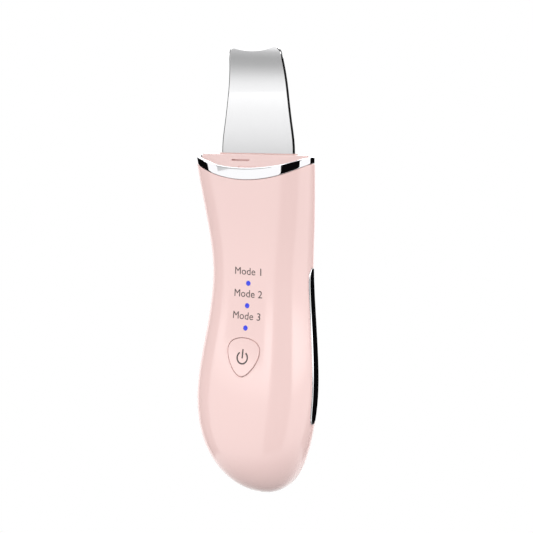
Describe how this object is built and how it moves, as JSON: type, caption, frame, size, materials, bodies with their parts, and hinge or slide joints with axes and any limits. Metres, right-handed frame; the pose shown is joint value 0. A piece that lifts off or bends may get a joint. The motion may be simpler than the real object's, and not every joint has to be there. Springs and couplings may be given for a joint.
{
  "type": "ultrasonic skin scrubber",
  "caption": "Hand-held ultrasonic skin scrubber with a flat steel spatula blade, bright neck ring, side contact strips, status lights and a power button.",
  "frame": {"origin": "under the middle of the bounding box, on the small flat that the tail stands on", "axes": "+Z along the handle towards the blade, -Y out of the front with the button and lights, +X to the right seen from the front"},
  "size_m": [0.0494, 0.0263, 0.1667],
  "materials": {
    "pink_casing": "gloss moulded ABS, pale rose",
    "chrome_trim": "bright plated",
    "blade_steel": "polished stainless",
    "seal_silicone": "moulded silicone",
    "status_lens": "tinted light pipe",
    "status_led": "white package",
    "horn_aluminium": "turned",
    "piezo_ceramic": "fired ceramic",
    "contact_brass": "stamped",
    "tail_mass_steel": "turned",
    "screw_steel": "zinc plated",
    "black_rubber": "moulded",
    "black_nylon": "moulded",
    "board_laminate": "solder mask",
    "foil_wrap": "satin foil",
    "foam_pad": "foam",
    "wire_red": "insulated",
    "wire_black": "insulated"
  },
  "bodies": {
    "handle": {"front_casing": "pink_casing", "rear_casing": "pink_casing", "rear_screw_cover": "pink_casing", "neck_ring": "chrome_trim", "head_cap": "pink_casing", "blade_seal": "seal_silicone", "side_contact_right": "chrome_trim", "side_contact_left": "chrome_trim", "transducer_sleeve": "black_rubber", "transducer_clamp": "black_nylon", "clamp_screw_1": "screw_steel", "clamp_screw_2": "screw_steel", "light_pipe_1": "status_lens", "led_chip_1": "status_led", "light_pipe_2": "status_lens", "led_chip_2": "status_led", "light_pipe_3": "status_lens", "led_chip_3": "status_led", "circuit_board": "board_laminate", "board_screw_1": "screw_steel", "board_screw_2": "screw_steel", "switch_body": "black_nylon", "control_chip": "black_nylon", "boost_transformer": "black_nylon", "filter_capacitor": "foil_wrap", "battery_cell": "foil_wrap", "battery_pad": "foam_pad", "battery_lead_red": "wire_red", "battery_lead_black": "wire_black", "transducer_lead_red": "wire_red", "transducer_lead_black": "wire_black", "contact_spring_right": "contact_brass", "contact_spring_left": "contact_brass", "usb_socket": "tail_mass_steel", "usb_tongue": "black_nylon", "charge_board": "board_laminate", "charge_lead_red": "wire_red", "charge_lead_black": "wire_black", "case_screw_1": "screw_steel", "case_screw_2": "screw_steel", "case_screw_3": "screw_steel", "case_screw_4": "screw_steel"},
    "button": {"power_button": "pink_casing"},
    "plunger": {"switch_plunger": "black_nylon"},
    "vibrator": {"blade": "blade_steel", "transducer_horn": "horn_aluminium", "piezo_ring_front": "piezo_ceramic", "electrode_front": "contact_brass", "piezo_ring_rear": "piezo_ceramic", "electrode_rear": "contact_brass", "transducer_tail_mass": "tail_mass_steel", "transducer_bolt": "screw_steel", "blade_screw_1": "screw_steel", "blade_screw_2": "screw_steel"}
  },
  "joints": [
    {"name": "button_press", "type": "slide", "parent": "handle", "child": "button", "axis": [0, 1, 0], "range_m": [0, 0.0004], "stiffness_N_per_m": 1500},
    {"name": "plunger_press", "type": "slide", "parent": "handle", "child": "plunger", "axis": [0, 1, 0], "range_m": [0, 0.0004]},
    {"name": "blade_vibration", "type": "slide", "parent": "handle", "child": "vibrator", "axis": [0, 0, 1], "range_m": [-0.00003, 0.00003], "stiffness_N_per_m": 50000}
  ],
  "couplings": [
    {"joint": "plunger_press", "follows": "button_press", "ratio": 1}
  ]
}
